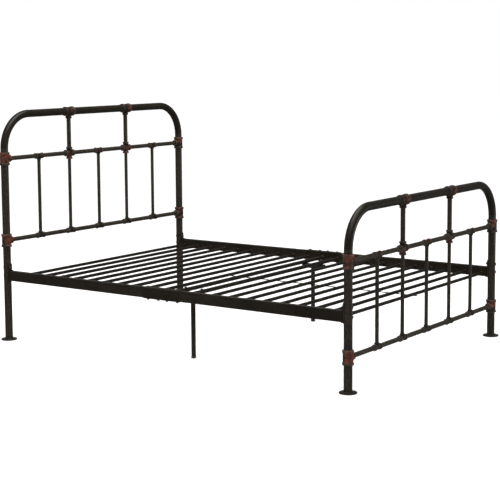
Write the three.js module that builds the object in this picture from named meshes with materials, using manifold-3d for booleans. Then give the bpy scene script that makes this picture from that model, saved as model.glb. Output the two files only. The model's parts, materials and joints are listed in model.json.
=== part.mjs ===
// Full-size metal bed frame in the industrial pipe style.
// Millimetres, +Z up, +Y towards the headboard. The origin is on the floor, in the middle of the frame.
import * as THREE from 'three';
import { mergeVertices } from 'three/addons/utils/BufferGeometryUtils.js';
import Module from 'manifold-3d';

const wasm = await Module();
wasm.setup();

// ---- driving dimensions -------------------------------------------------------------------------------
const POST_SPACING = 1400;       // between post axes, across the bed
const BOARD_SPACING = 1975;      // between post axes, along the bed
const FIT = 0.3;                 // clearance between pieces that touch
const OVERRUN = 1;               // how far a cutting tool runs past the solid it cuts
const WELD = 1e-4;               // points nearer than this are one point

const POST = { outer: 19, wall: 1.6, bend: 170, sides: 12, bendSteps: 6 };
const FLANGE = { outer: 39, height: 6, edge: 2, sides: 16 };
const BOARDS = [
  { name: 'headboard', side: 1, top: 1126, mid: 909, low: 502 },
  { name: 'footboard', side: -1, top: 774, mid: 558, low: 153 },
];
const BAR_TUBE = { outer: 11, wall: 1.5, sides: 8 };       // mid rails, lower rails and drop tubes
const SPINDLE = { outer: 8.5, wall: 1.2, sides: 8, pitch: 228.5, count: 5 };
const ROOT = 12;                 // how near an upright's end comes to the axis of its rail

const POST_TEE = {
  height: 64, body: 23, rim: 26, rimHeight: 10, nipple: 15.5, bead: 18, reach: 37, beadWidth: 7,
};
const ARCH_TEE = {
  width: 62, body: 22.5, rim: 25, rimWidth: 11, neck: 14, branch: 16, reach: 37, branchRim: 10, wall: 3,
};
const CROSS = { half: 30, body: 14, rim: 17.5, uprightRim: 16.5, rimWidth: 9, reach: 31 };
const SMALL_TEE = { half: 26, body: 13, rim: 15, rimWidth: 7, branch: 11, reach: 20 };
const RIM_SLOPE = 1.5;           // length over which a fitting's body widens into its rim
const SLEEVE_SIDES = 12;         // fittings that go round a post or the arch
const SOCKET_SIDES = 8;          // fittings that hold the thinner tubes

const RAIL = { width: 25, height: 50, wall: 1.6, bottom: 301, seam: 1 };
const SADDLE = { outer: 23.3, halfAngle: 1.12, bottom: 298, height: 86, sides: 24 };
const SLEEVE = { wall: 2, length: 208 };
const JOINT_BOLTS = { radius: 4.2, places: [-85, -25, 25, 85] };
const POST_BOLTS = { radius: 4.2, depth: 4, heights: [326, 366] };    // depth is past the saddle's face
const BOLT_SIDES = 6;

const SLAT = { outer: 8, wall: 1.2, sides: 8, pitch: 94.2, each: 10, bottom: 310 };
const BAR = { outer: 10, wall: 1.4, sides: 12 };           // the two thicker cross bars that the legs hang on
const BAR_INDEXES = [0, -1];
const STRETCHER = { radius: 2.5, x: -15, sides: 8 };
const LEG = { x: 525, y: -42, outer: 11, wall: 1.5, sides: 12, bottom: 8 };
const HANGER = { width: 30, depth: 22, length: 128, wall: 3 };
const GLIDE = { outer: 11.6, stem: 8, height: 26, sides: 12 };

const HALF_WIDTH = POST_SPACING / 2;
const HALF_LENGTH = BOARD_SPACING / 2;
const SLAT_AXIS = SLAT.bottom + SLAT.outer;
const HANGER_Y = -SLAT.pitch / 2;

// ---- finishes -----------------------------------------------------------------------------------------
const bronzePaint = { color: 0x2b2824, roughness: 0.5, metalness: 0.6 };
const rustRed = { color: 0x5a2c20, roughness: 0.6, metalness: 0.5 };
const blackPlastic = { color: 0x161616, roughness: 0.6, metalness: 0.0 };

// ---- solids -------------------------------------------------------------------------------------------
function solidOf(geometry) {
  const bare = geometry.clone();
  bare.deleteAttribute('normal');
  bare.deleteAttribute('uv');
  const merged = mergeVertices(bare, WELD);
  const vertProperties = new Float32Array(merged.attributes.position.array);
  const triVerts = new Uint32Array(merged.index.array);
  return new wasm.Manifold(new wasm.Mesh({ numProp: 3, vertProperties, triVerts }));
}

function geometryOf(solid) {
  const mesh = solid.getMesh();
  const geometry = new THREE.BufferGeometry();
  geometry.setAttribute('position', new THREE.BufferAttribute(new Float32Array(mesh.vertProperties), 3));
  geometry.setIndex(new THREE.BufferAttribute(new Uint32Array(mesh.triVerts), 1));
  geometry.computeVertexNormals();
  return geometry;
}

function join(solids) {
  return solids.reduce((sum, next) => sum.add(next));
}

function cut(solid, tools) {
  return tools.reduce((rest, tool) => rest.subtract(tool), solid);
}

// Turns a geometry made along +Z so that it runs along another axis.
function pointAlong(geometry, axis) {
  if (axis === 'x') geometry.rotateY(Math.PI / 2);
  if (axis === 'y') geometry.rotateX(-Math.PI / 2);
  return geometry;
}

// A round rod between two distances along an axis.
function rod(radius, from, to, axis, sides) {
  const geometry = new THREE.CylinderGeometry(radius, radius, to - from, sides);
  geometry.rotateX(Math.PI / 2);
  geometry.translate(0, 0, (from + to) / 2);
  return pointAlong(geometry, axis);
}

// The radius of a many-sided bore that clears a round piece all the way round.
function clearOf(radius, sides) {
  return (radius + FIT) / Math.cos(Math.PI / sides);
}

function ringShape(outer, inner) {
  const shape = new THREE.Shape().absarc(0, 0, outer, 0, 2 * Math.PI, false);
  shape.holes.push(new THREE.Path().absarc(0, 0, inner, 0, 2 * Math.PI, true));
  return shape;
}

// A straight tube, centred on the origin.
function tube(size, length, axis) {
  const options = { depth: length, bevelEnabled: false, curveSegments: size.sides / 2 };
  const geometry = new THREE.ExtrudeGeometry(ringShape(size.outer, size.outer - size.wall), options);
  geometry.translate(0, 0, -length / 2);
  return pointAlong(geometry, axis);
}

// A turned body from [radius, distance along the axis] pairs that start and end on the axis.
function turned(profile, axis, sides) {
  const points = profile.map(([radius, along]) => new THREE.Vector2(radius, along));
  const geometry = new THREE.LatheGeometry(points, sides);
  geometry.rotateX(Math.PI / 2);
  return pointAlong(geometry, axis);
}

// A cast sleeve with a raised rim at both ends, symmetric about its middle.
function rimmedSleeve(half, body, rim, rimWidth, axis, sides) {
  const shoulder = half - rimWidth;
  return turned([
    [0, -half], [rim, -half], [rim, -shoulder - RIM_SLOPE], [body, -shoulder],
    [body, shoulder], [rim, shoulder + RIM_SLOPE], [rim, half], [0, half],
  ], axis, sides);
}

// A short socket that leaves a fitting along an axis and ends in a rim.
function rimmedSocket(root, reach, body, rim, rimWidth, axis, sides) {
  const sign = Math.sign(reach);
  const end = Math.abs(reach);
  const profile = [
    [0, root], [body, root], [body, end - rimWidth],
    [rim, end - rimWidth + RIM_SLOPE], [rim, end], [0, end],
  ].map(([radius, along]) => [radius, sign * along]);
  return turned(sign > 0 ? profile : profile.reverse(), axis, sides);
}

function block(width, length, height) {
  return new THREE.BoxGeometry(width, length, height);
}

// ---- the tree of pieces -------------------------------------------------------------------------------
const bed = new THREE.Group();

function addPiece(parent, name, shape, finish, x, y, z) {
  const geometry = shape.isBufferGeometry ? shape : geometryOf(shape);
  const mesh = new THREE.Mesh(geometry, new THREE.MeshStandardMaterial(finish));
  mesh.name = name;
  mesh.position.set(x, y, z);
  parent.add(mesh);
}

// The line of a bent tube that stands on two legs, with one station at each end of a straight run.
class ArchLine extends THREE.Curve {
  constructor(halfWidth, top, bend, bendSteps) {
    super();
    this.stations = [[new THREE.Vector3(-halfWidth, 0, 0), new THREE.Vector3(0, 0, 1)]];
    for (const side of [-1, 1]) {
      for (let step = 0; step <= bendSteps; step += 1) {
        const turn = (step / bendSteps) * (Math.PI / 2);
        const angle = side < 0 ? turn : Math.PI / 2 - turn;
        const offset = bend * (1 - Math.cos(angle));
        const point = new THREE.Vector3(side * (halfWidth - offset), 0, top - bend + bend * Math.sin(angle));
        const heading = new THREE.Vector3(Math.sin(angle), 0, -side * Math.cos(angle));
        this.stations.push([point, heading]);
      }
    }
    this.stations.push([new THREE.Vector3(halfWidth, 0, 0), new THREE.Vector3(0, 0, -1)]);
  }

  between(t, part) {
    const place = t * (this.stations.length - 1);
    const index = Math.min(Math.floor(place + WELD), this.stations.length - 2);
    return this.stations[index][part].clone().lerp(this.stations[index + 1][part], place - index);
  }

  getPointAt(t) {
    return this.between(t, 0);
  }

  getTangentAt(t) {
    return this.between(t, 1).normalize();
  }
}

function makeArch(board) {
  const line = new ArchLine(HALF_WIDTH, board.top, POST.bend, POST.bendSteps);
  const pipe = new THREE.ExtrudeGeometry(ringShape(POST.outer, POST.outer - POST.wall), {
    steps: line.stations.length - 1,
    curveSegments: POST.sides / 2,
    extrudePath: line,
  });
  const discProfile = [
    [0, 0], [FLANGE.outer, 0], [FLANGE.outer, FLANGE.height - FLANGE.edge],
    [FLANGE.outer - FLANGE.edge, FLANGE.height], [0, FLANGE.height],
  ];
  const discs = [-HALF_WIDTH, HALF_WIDTH].map((x) => turned(discProfile, 'z', FLANGE.sides).translate(x, 0, 0));
  const bores = [-HALF_WIDTH, HALF_WIDTH].map((x) => {
    const bore = rod(POST.outer - POST.wall / 2, -OVERRUN, FLANGE.height + OVERRUN, 'z', POST.sides);
    return solidOf(bore.translate(x, 0, 0));
  });
  const bolts = [-HALF_WIDTH, HALF_WIDTH].flatMap((x) => POST_BOLTS.heights.map((z) => {
    const bolt = rod(POST_BOLTS.radius, -POST.outer - OVERRUN, POST.outer + OVERRUN, 'y', BOLT_SIDES);
    return solidOf(bolt.translate(x, 0, z));
  }));
  const feet = cut(join(discs.map(solidOf)), bores);
  return cut(join([solidOf(pipe), feet]), bolts);
}

// A sleeve on a post whose nipple holds the end of a rail; the nipple points along +X.
function makePostTee() {
  const size = POST_TEE;
  const sleeve = rimmedSleeve(size.height / 2, size.body, size.rim, size.rimHeight, 'z', SLEEVE_SIDES);
  const nipple = rimmedSocket(POST.outer, size.reach, size.nipple, size.bead, size.beadWidth, 'x', SOCKET_SIDES);
  const postBore = rod(clearOf(POST.outer, POST.sides), -size.height, size.height, 'z', POST.sides);
  const railRadius = clearOf(BAR_TUBE.outer, BAR_TUBE.sides);
  const railBore = rod(railRadius, size.body - OVERRUN, size.reach + OVERRUN, 'x', BAR_TUBE.sides);
  return cut(join([solidOf(sleeve), solidOf(nipple)]), [solidOf(postBore), solidOf(railBore)]);
}

// A tube with the tee that carries it on the arch; the arch's axis is at z = 0.
function makeDropTube(length) {
  const size = ARCH_TEE;
  const sleeve = rimmedSleeve(size.width / 2, size.body, size.rim, size.rimWidth, 'x', SLEEVE_SIDES);
  const socket = rimmedSocket(POST.outer, -size.reach, size.neck, size.branch, size.branchRim, 'z', SOCKET_SIDES);
  const root = -POST.outer - OVERRUN;
  const upright = rod(BAR_TUBE.outer, -length, root, 'z', BAR_TUBE.sides);
  const archBore = rod(clearOf(POST.outer, POST.sides), -size.width, size.width, 'x', POST.sides);
  const inside = BAR_TUBE.outer - BAR_TUBE.wall;
  const tubeBore = rod(inside, -length - OVERRUN, root - size.wall, 'z', BAR_TUBE.sides);
  return cut(join([solidOf(sleeve), solidOf(socket), solidOf(upright)]), [solidOf(archBore), solidOf(tubeBore)]);
}

function spindlePlaces() {
  const middle = (SPINDLE.count - 1) / 2;
  return Array.from({ length: SPINDLE.count }, (_, index) => (index - middle) * SPINDLE.pitch);
}

function isUnderDrop(index) {
  return index === 1 || index === 3;
}

function smallTee(x, direction) {
  const size = SMALL_TEE;
  const sleeve = rimmedSleeve(size.half, size.body, size.rim, size.rimWidth, 'x', SOCKET_SIDES);
  const end = direction * size.reach;
  const socket = rod(size.branch, Math.min(0, end), Math.max(0, end), 'z', SOCKET_SIDES);
  return [sleeve, socket].map((geometry) => solidOf(geometry.translate(x, 0, 0)));
}

function crossFitting(x) {
  const size = CROSS;
  const sleeve = rimmedSleeve(size.half, size.body, size.rim, size.rimWidth, 'x', SOCKET_SIDES);
  const upright = rimmedSleeve(size.reach, size.body, size.uprightRim, size.rimWidth, 'z', SOCKET_SIDES);
  return [sleeve, upright].map((geometry) => solidOf(geometry.translate(x, 0, 0)));
}

// A rail between two post tees; `level` says which row it is, for its fittings.
function makeBoardRail(level) {
  const half = HALF_WIDTH - POST_TEE.body - FIT;
  const solids = [solidOf(rod(BAR_TUBE.outer, -half, half, 'x', BAR_TUBE.sides))];
  const inside = rod(BAR_TUBE.outer - BAR_TUBE.wall, -half - OVERRUN, half + OVERRUN, 'x', BAR_TUBE.sides);
  const bores = [solidOf(inside)];
  spindlePlaces().forEach((x, index) => {
    const isCross = level === 'mid' && isUnderDrop(index);
    const towards = level === 'mid' ? -1 : 1;
    solids.push(...(isCross ? crossFitting(x) : smallTee(x, towards)));
    const end = towards * (CROSS.reach + OVERRUN);
    const [low, high] = [Math.min(towards * ROOT, end), Math.max(towards * ROOT, end)];
    const bore = rod(clearOf(SPINDLE.outer, SPINDLE.sides), low, high, 'z', SPINDLE.sides);
    bores.push(solidOf(bore.translate(x, 0, 0)));
    if (isCross) {
      const dropRadius = clearOf(BAR_TUBE.outer, BAR_TUBE.sides);
      const dropBore = rod(dropRadius, ROOT, CROSS.reach + OVERRUN, 'z', BAR_TUBE.sides);
      bores.push(solidOf(dropBore.translate(x, 0, 0)));
    }
  });
  return cut(join(solids), bores);
}

function addBoard(board) {
  const group = new THREE.Group();
  group.position.y = board.side * HALF_LENGTH;
  bed.add(group);
  const nameOf = (suffix) => `${board.name}_${suffix}`;
  addPiece(group, nameOf('arch'), makeArch(board), bronzePaint, 0, 0, 0);
  for (const [level, height] of [['upper', board.mid], ['lower', board.low]]) {
    for (const [hand, side] of [['left', -1], ['right', 1]]) {
      const tee = makePostTee();
      const turnedTee = side > 0 ? tee.rotate([0, 0, 180]) : tee;
      addPiece(group, nameOf(`post_tee_${level}_${hand}`), turnedTee, rustRed, side * HALF_WIDTH, 0, height);
    }
  }
  addPiece(group, nameOf('mid_rail'), makeBoardRail('mid'), bronzePaint, 0, 0, board.mid);
  addPiece(group, nameOf('lower_rail'), makeBoardRail('low'), bronzePaint, 0, 0, board.low);
  const dropLength = board.top - board.mid - ROOT - FIT;
  const spindleLength = board.mid - board.low - 2 * (ROOT + FIT);
  spindlePlaces().forEach((x, index) => {
    const spindle = tube(SPINDLE, spindleLength, 'z');
    addPiece(group, nameOf(`spindle_${index + 1}`), spindle, bronzePaint, x, 0, (board.mid + board.low) / 2);
    if (isUnderDrop(index)) {
      const hand = x < 0 ? 'left' : 'right';
      addPiece(group, nameOf(`drop_tube_${hand}`), makeDropTube(dropLength), bronzePaint, x, 0, board.top);
    }
  });
}

// One half of a side rail: a rectangular tube whose outer end is welded to a curved saddle for the post.
function makeSideRail(side) {
  const start = RAIL.seam;
  const end = HALF_LENGTH - POST.outer - FIT;
  const length = end - start;
  const middle = side * (start + end) / 2;
  const height = RAIL.bottom + RAIL.height / 2;
  const outside = block(RAIL.width, length, RAIL.height).translate(0, middle, height);
  const hollow = block(RAIL.width - 2 * RAIL.wall, length, RAIL.height - 2 * RAIL.wall)
    .translate(0, middle - side * 2 * RAIL.wall, height);
  const plan = new THREE.Shape();
  const facing = -side * Math.PI / 2;
  plan.absarc(0, 0, SADDLE.outer, facing - SADDLE.halfAngle, facing + SADDLE.halfAngle, false);
  plan.absarc(0, 0, POST.outer - OVERRUN, facing + SADDLE.halfAngle, facing - SADDLE.halfAngle, true);
  plan.closePath();
  const options = { depth: SADDLE.height, bevelEnabled: false, curveSegments: SADDLE.sides / 4 };
  const saddle = new THREE.ExtrudeGeometry(plan, options);
  saddle.translate(0, side * HALF_LENGTH, SADDLE.bottom);
  const postRadius = clearOf(POST.outer, SADDLE.sides);
  const postHole = rod(postRadius, 0, SADDLE.bottom + 2 * SADDLE.height, 'z', SADDLE.sides);
  postHole.translate(0, side * HALF_LENGTH, 0);
  const holes = POST_BOLTS.heights.map((z) => {
    const drill = rod(POST_BOLTS.radius, -SADDLE.outer - POST_BOLTS.depth, 0, 'y', BOLT_SIDES);
    return solidOf(drill.rotateZ(side > 0 ? 0 : Math.PI).translate(0, side * HALF_LENGTH, z));
  });
  const jointHoles = JOINT_BOLTS.places.filter((y) => y * side > 0).map((y) => {
    const top = RAIL.bottom + RAIL.height + OVERRUN;
    const drill = rod(JOINT_BOLTS.radius, RAIL.bottom - OVERRUN, top, 'z', BOLT_SIDES);
    return solidOf(drill.translate(0, y, 0));
  });
  const shell = cut(solidOf(outside), [solidOf(hollow)]);
  return cut(join([shell, solidOf(saddle)]), [solidOf(postHole), ...holes, ...jointHoles]);
}

function makeSleeve() {
  const gap = 2 * FIT;
  const inside = [RAIL.width + gap, RAIL.height + gap];
  const outside = block(inside[0] + 2 * SLEEVE.wall, SLEEVE.length, inside[1] + 2 * SLEEVE.wall);
  const hollow = block(inside[0], SLEEVE.length + 2 * OVERRUN, inside[1]);
  const holes = JOINT_BOLTS.places.map((y) => {
    const drill = rod(JOINT_BOLTS.radius, -RAIL.height, RAIL.height, 'z', BOLT_SIDES);
    return solidOf(drill.translate(0, y, 0));
  });
  return cut(solidOf(outside), [solidOf(hollow), ...holes]);
}

function addSideRails() {
  for (const [hand, x] of [['left', -HALF_WIDTH], ['right', HALF_WIDTH]]) {
    addPiece(bed, `side_rail_head_${hand}`, makeSideRail(1), bronzePaint, x, 0, 0);
    addPiece(bed, `side_rail_foot_${hand}`, makeSideRail(-1), bronzePaint, x, 0, 0);
    addPiece(bed, `rail_sleeve_${hand}`, makeSleeve(), bronzePaint, x, 0, RAIL.bottom + RAIL.height / 2);
  }
}

function addSlats() {
  const railFace = HALF_WIDTH - RAIL.width / 2 - FIT;
  const sleeveFace = railFace - FIT - SLEEVE.wall;
  let slatNumber = 0;
  let barNumber = 0;
  for (let index = SLAT.each; index >= -SLAT.each; index -= 1) {
    const y = index * SLAT.pitch;
    const half = Math.abs(y) < SLEEVE.length / 2 ? sleeveFace : railFace;
    if (BAR_INDEXES.includes(index)) {
      barNumber += 1;
      const bar = tube(BAR, 2 * half, 'x');
      addPiece(bed, `cross_bar_${barNumber}`, bar, bronzePaint, 0, y, SLAT.bottom + BAR.outer);
    } else {
      slatNumber += 1;
      const name = `slat_${String(slatNumber).padStart(2, '0')}`;
      addPiece(bed, name, tube(SLAT, 2 * half, 'x'), bronzePaint, 0, y, SLAT_AXIS);
    }
  }
}

function addStretcher() {
  const head = SLAT.pitch + SLAT.outer;
  const foot = -SLAT.each * SLAT.pitch - SLAT.outer;
  const wire = rod(STRETCHER.radius, foot, head, 'y', STRETCHER.sides);
  addPiece(bed, 'centre_stretcher', wire, bronzePaint, STRETCHER.x, 0, SLAT.bottom - FIT - STRETCHER.radius);
}

// A leg tube under a channel that reaches from one cross bar to the other.
function makeLeg() {
  const top = SLAT.bottom - FIT;
  const along = HANGER_Y - LEG.y;
  const channel = block(HANGER.width, HANGER.length, HANGER.depth).translate(0, along, top - HANGER.depth / 2);
  const inside = block(HANGER.width - 2 * HANGER.wall, HANGER.length + 2 * OVERRUN, HANGER.depth)
    .translate(0, along, top - HANGER.depth / 2 - HANGER.wall);
  const shank = rod(LEG.outer, LEG.bottom, top - HANGER.wall + OVERRUN, 'z', LEG.sides);
  const bore = rod(LEG.outer - LEG.wall, LEG.bottom - OVERRUN, top - HANGER.wall, 'z', LEG.sides);
  const folded = cut(solidOf(channel), [solidOf(inside)]);
  return cut(join([folded, solidOf(shank)]), [solidOf(bore)]);
}

function makeGlide() {
  return turned([
    [0, 0], [GLIDE.outer, 0], [GLIDE.outer, LEG.bottom - FIT],
    [GLIDE.stem, LEG.bottom - FIT], [GLIDE.stem, GLIDE.height], [0, GLIDE.height],
  ], 'z', GLIDE.sides);
}

function addLegs() {
  for (const [hand, side] of [['left', -1], ['right', 1]]) {
    addPiece(bed, `centre_leg_${hand}`, makeLeg(), bronzePaint, side * LEG.x, LEG.y, 0);
    addPiece(bed, `leg_glide_${hand}`, makeGlide(), blackPlastic, side * LEG.x, LEG.y, 0);
  }
}

BOARDS.forEach(addBoard);
addSideRails();
addSlats();
addStretcher();
addLegs();

export default bed;
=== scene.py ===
import json
import math

import bpy
from mathutils import Matrix, Vector

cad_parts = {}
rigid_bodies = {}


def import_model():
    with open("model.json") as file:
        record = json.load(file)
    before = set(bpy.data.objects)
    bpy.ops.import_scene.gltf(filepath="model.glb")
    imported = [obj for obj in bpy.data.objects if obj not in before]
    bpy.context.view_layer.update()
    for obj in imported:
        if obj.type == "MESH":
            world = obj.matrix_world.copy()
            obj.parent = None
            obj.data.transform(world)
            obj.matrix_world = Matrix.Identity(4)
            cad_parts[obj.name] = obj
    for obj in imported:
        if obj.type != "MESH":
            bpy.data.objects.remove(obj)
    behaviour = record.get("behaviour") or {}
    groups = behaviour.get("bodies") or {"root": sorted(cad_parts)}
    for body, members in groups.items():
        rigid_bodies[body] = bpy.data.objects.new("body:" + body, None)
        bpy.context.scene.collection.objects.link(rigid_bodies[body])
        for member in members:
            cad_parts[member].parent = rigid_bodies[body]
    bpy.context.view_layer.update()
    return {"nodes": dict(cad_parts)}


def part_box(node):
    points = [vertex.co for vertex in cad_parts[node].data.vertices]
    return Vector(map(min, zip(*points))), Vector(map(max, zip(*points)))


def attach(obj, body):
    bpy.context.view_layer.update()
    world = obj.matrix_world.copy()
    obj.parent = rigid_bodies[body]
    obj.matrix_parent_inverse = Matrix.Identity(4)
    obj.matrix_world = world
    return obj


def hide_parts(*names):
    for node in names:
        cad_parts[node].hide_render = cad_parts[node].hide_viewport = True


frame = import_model()
print("frame loaded,", len(frame["nodes"]), "parts")

# metres, floor at z = 0, the headboard towards +y

smoothAngle = math.radians(38)
mergeDistance = 0.00001
tubeEase = 0.0006  # how much the rim of a plain tube is eased
wearAndHighlight = {"start": 0.24, "gain": 1.8}  # how sharp a corner has to be before its paint wears and takes a painted highlight, and how fast


def deselectAll():
    for thing in bpy.context.view_layer.objects:
        thing.select_set(False)


def makeActive(piece):
    deselectAll()
    piece.select_set(True)
    bpy.context.view_layer.objects.active = piece


def editAll():
    bpy.context.tool_settings.mesh_select_mode = (True, False, False)
    bpy.ops.object.mode_set(mode="EDIT")
    bpy.ops.mesh.select_all(action="SELECT")


def leaveEdit():
    bpy.ops.object.mode_set(mode="OBJECT")


def clearPicks(mesh):
    for part in (mesh.vertices, mesh.edges, mesh.polygons):
        part.foreach_set("select", [False] * len(part))


def pickFaces(piece, rule):  # edit mode with the faces that the rule names
    bpy.context.tool_settings.mesh_select_mode = (False, False, True)
    clearPicks(piece.data)
    for face in piece.data.polygons:
        face.select = rule(face)
    bpy.ops.object.mode_set(mode="EDIT")


def pickEdges(piece, rule):  # edit mode with the edges whose two ends pass the rule
    bpy.context.tool_settings.mesh_select_mode = (False, True, False)
    clearPicks(piece.data)
    points = piece.data.vertices
    for edge in piece.data.edges:
        a, b = edge.vertices
        edge.select = rule(points[a].co, points[b].co)
    bpy.ops.object.mode_set(mode="EDIT")


def nameActive(name):
    piece = bpy.context.active_object
    piece.name = name
    piece.data.name = name
    bpy.ops.object.transform_apply(location=True, rotation=True, scale=True)
    return piece


def cleanMesh(piece):
    makeActive(piece)
    editAll()
    bpy.ops.mesh.remove_doubles(threshold=mergeDistance)
    bpy.ops.mesh.normals_make_consistent(inside=False)
    leaveEdit()


def turnPiece(name, rings, sides, hollow=False):  # rings are (radius, height), bottom to top
    deselectAll()
    radius, height = rings[0]
    bpy.ops.mesh.primitive_circle_add(vertices=sides, radius=radius, location=(0, 0, height))
    piece = nameActive(name)
    editAll()
    for nextRadius, nextHeight in rings[1:]:
        step = (0, 0, nextHeight - height)
        bpy.ops.mesh.extrude_region_move(TRANSFORM_OT_translate={"value": step})
        ratio = nextRadius / radius
        bpy.ops.transform.resize(value=(ratio, ratio, 1), center_override=(0, 0, nextHeight))
        radius, height = nextRadius, nextHeight
    bpy.ops.mesh.select_all(action="SELECT")
    if hollow:
        bpy.ops.mesh.remove_doubles(threshold=mergeDistance)
    else:
        bpy.ops.mesh.fill_holes(sides=0)
    leaveEdit()
    cleanMesh(piece)
    return piece


aimAngles = {"x": (0, 90, 0), "-x": (0, -90, 0), "y": (-90, 0, 0), "-y": (90, 0, 0), "-z": (180, 0, 0)}


def aimPiece(piece, way):  # turns a piece made upright so that it points another way
    makeActive(piece)
    piece.rotation_euler = [math.radians(angle) for angle in aimAngles[way]]
    bpy.ops.object.transform_apply(location=True, rotation=True, scale=True)
    return piece


def movePiece(piece, place):
    piece.data.transform(Matrix.Translation(place))
    return piece


def combine(piece, tool, how):  # UNION or DIFFERENCE with a tool, which is used up
    makeActive(piece)
    change = piece.modifiers.new("combine", "BOOLEAN")
    change.operation = how
    change.solver = "EXACT"
    change.object = tool
    bpy.ops.object.modifier_apply(modifier=change.name)
    bpy.data.objects.remove(tool)
    cleanMesh(piece)
    return piece


def joinPieces(pieces):
    makeActive(pieces[0])
    for piece in pieces:
        piece.select_set(True)
    bpy.ops.object.join()
    return pieces[0]


def softenEdges(piece, width, segments, angle=50):
    makeActive(piece)
    bevel = piece.modifiers.new("soften", "BEVEL")
    bevel.width = width
    bevel.segments = segments
    bevel.limit_method = "ANGLE"
    bevel.angle_limit = math.radians(angle)
    bpy.ops.object.modifier_apply(modifier=bevel.name)
    return piece


def markWearAndHighlight(piece):  # outer corners get worn paint and a painted highlight, inner corners go to crevice, both from 0 to 1
    mesh = piece.data
    points = mesh.vertices
    bend = [[0.0, 0.0] for _ in points]
    for edge in mesh.edges:
        a, b = edge.vertices
        along = points[b].co - points[a].co
        if along.length < 1e-7:
            continue
        turn = (points[b].normal - points[a].normal).dot(along.normalized())
        for corner in (a, b):
            bend[corner][0] = max(bend[corner][0], turn)
            bend[corner][1] = max(bend[corner][1], -turn)
    # the outer-corner layer holds worn paint together with a painted highlight
    for label, index in (("edgeWearAndHighlight", 0), ("crevice", 1)):
        layer = mesh.attributes.new(label, "FLOAT", "POINT")
        amounts = [(row[index] - wearAndHighlight["start"]) * wearAndHighlight["gain"] for row in bend]
        layer.data.foreach_set("value", [min(1.0, max(0.0, amount)) for amount in amounts])


def smoothPiece(piece):
    makeActive(piece)
    bpy.ops.object.shade_smooth_by_angle(angle=smoothAngle)
    markWearAndHighlight(piece)
    return piece


def flattenShading(piece):  # keeps the wide flat faces evenly lit beside their rounded corners
    makeActive(piece)
    weighted = piece.modifiers.new("weighted", "WEIGHTED_NORMAL")
    weighted.keep_sharp = True
    bpy.ops.object.modifier_apply(modifier=weighted.name)
    return piece


def markZone(piece, amountAt):  # how much rust red each place gets, from 0 to 1
    points = piece.data.vertices
    layer = piece.data.attributes.new("rustZone", "FLOAT", "POINT")
    layer.data.foreach_set("value", [min(1.0, max(0.0, amountAt(point.co))) for point in points])
    return piece


def copyPiece(model, name, place, turn=0.0):
    piece = model.copy()
    piece.data = model.data.copy()
    piece.name = name
    piece.data.name = name
    bpy.context.scene.collection.objects.link(piece)
    piece.data.transform(Matrix.Translation(place) @ Matrix.Rotation(turn, 4, "Z"))
    return piece


def dressPiece(piece, material, slotName, *nodes):
    piece.data.materials.clear()
    piece.data.materials.append(material)
    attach(piece, "root")
    if nodes:
        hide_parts(*nodes)
    return piece


def middleOf(node):
    low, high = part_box(node)
    return (low + high) / 2


# finishes

def addNode(tree, kind, **settings):
    node = tree.nodes.new(kind)
    for label, value in settings.items():
        setattr(node, label, value)
    return node


def fillSockets(node, **values):
    for label, value in values.items():
        node.inputs[label.replace("_", " ")].default_value = value
    return node


def newGroup(name, inputs, outputs):
    group = bpy.data.node_groups.new(name, "ShaderNodeTree")
    for label, kind, value in inputs:
        socket = group.interface.new_socket(name=label, in_out="INPUT", socket_type="NodeSocket" + kind)
        if value is not None:
            socket.default_value = value
    for label, kind in outputs:
        group.interface.new_socket(name=label, in_out="OUTPUT", socket_type="NodeSocket" + kind)
    return group, group.nodes.new("NodeGroupInput").outputs, group.nodes.new("NodeGroupOutput").inputs


def noiseNode(tree, vector, scale, detail, roughness=0.55):
    noise = addNode(tree, "ShaderNodeTexNoise")
    tree.links.new(vector, noise.inputs["Vector"])
    if isinstance(scale, (int, float)):
        noise.inputs["Scale"].default_value = scale
    else:
        tree.links.new(scale, noise.inputs["Scale"])
    fillSockets(noise, Detail=detail, Roughness=roughness)
    return noise.outputs["Fac"]


def rangeNode(tree, value, fromLow, fromHigh, toLow, toHigh):
    node = addNode(tree, "ShaderNodeMapRange", interpolation_type="SMOOTHSTEP")
    sockets = ("From Min", "From Max", "To Min", "To Max")
    tree.links.new(value, node.inputs["Value"])
    for label, amount in zip(sockets, (fromLow, fromHigh, toLow, toHigh)):
        if isinstance(amount, (int, float)):
            node.inputs[label].default_value = amount
        else:
            tree.links.new(amount, node.inputs[label])
    return node.outputs["Result"]


def mathNode(tree, operation, first, second, clamp=False):
    node = addNode(tree, "ShaderNodeMath", operation=operation, use_clamp=clamp)
    for socket, value in zip(node.inputs, (first, second)):
        if isinstance(value, (int, float)):
            socket.default_value = value
        else:
            tree.links.new(value, socket)
    return node.outputs[0]


def mixNode(tree, factor, first, second):
    node = addNode(tree, "ShaderNodeMix", data_type="RGBA")
    for socket, value in ((node.inputs[0], factor), (node.inputs[6], first), (node.inputs[7], second)):
        if isinstance(value, (int, float, tuple)):
            socket.default_value = value
        else:
            tree.links.new(value, socket)
    return node.outputs[2]


def makeMottleGroup():  # two tones that wander over the metal, at a broad and a fine scale
    group, given, gives = newGroup(
        "mottledTone",
        [("Position", "Vector", None), ("Scale", "Float", 9.0), ("Dark Tone", "Color", (0, 0, 0, 1)),
         ("Light Tone", "Color", (1, 1, 1, 1))],
        [("Color", "Color"), ("Value", "Float")],
    )
    broad = noiseNode(group, given["Position"], given["Scale"], 3.0)
    fine = noiseNode(group, given["Position"], mathNode(group, "MULTIPLY", given["Scale"], 11.0), 4.0, 0.6)
    broadPart = mathNode(group, "MULTIPLY", broad, 0.6)
    finePart = mathNode(group, "MULTIPLY", fine, 0.4)
    both = mathNode(group, "ADD", broadPart, finePart)
    value = rangeNode(group, both, 0.36, 0.64, 0.0, 1.0)
    group.links.new(value, gives["Value"])
    group.links.new(mixNode(group, value, given["Dark Tone"], given["Light Tone"]), gives["Color"])
    return group


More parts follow.
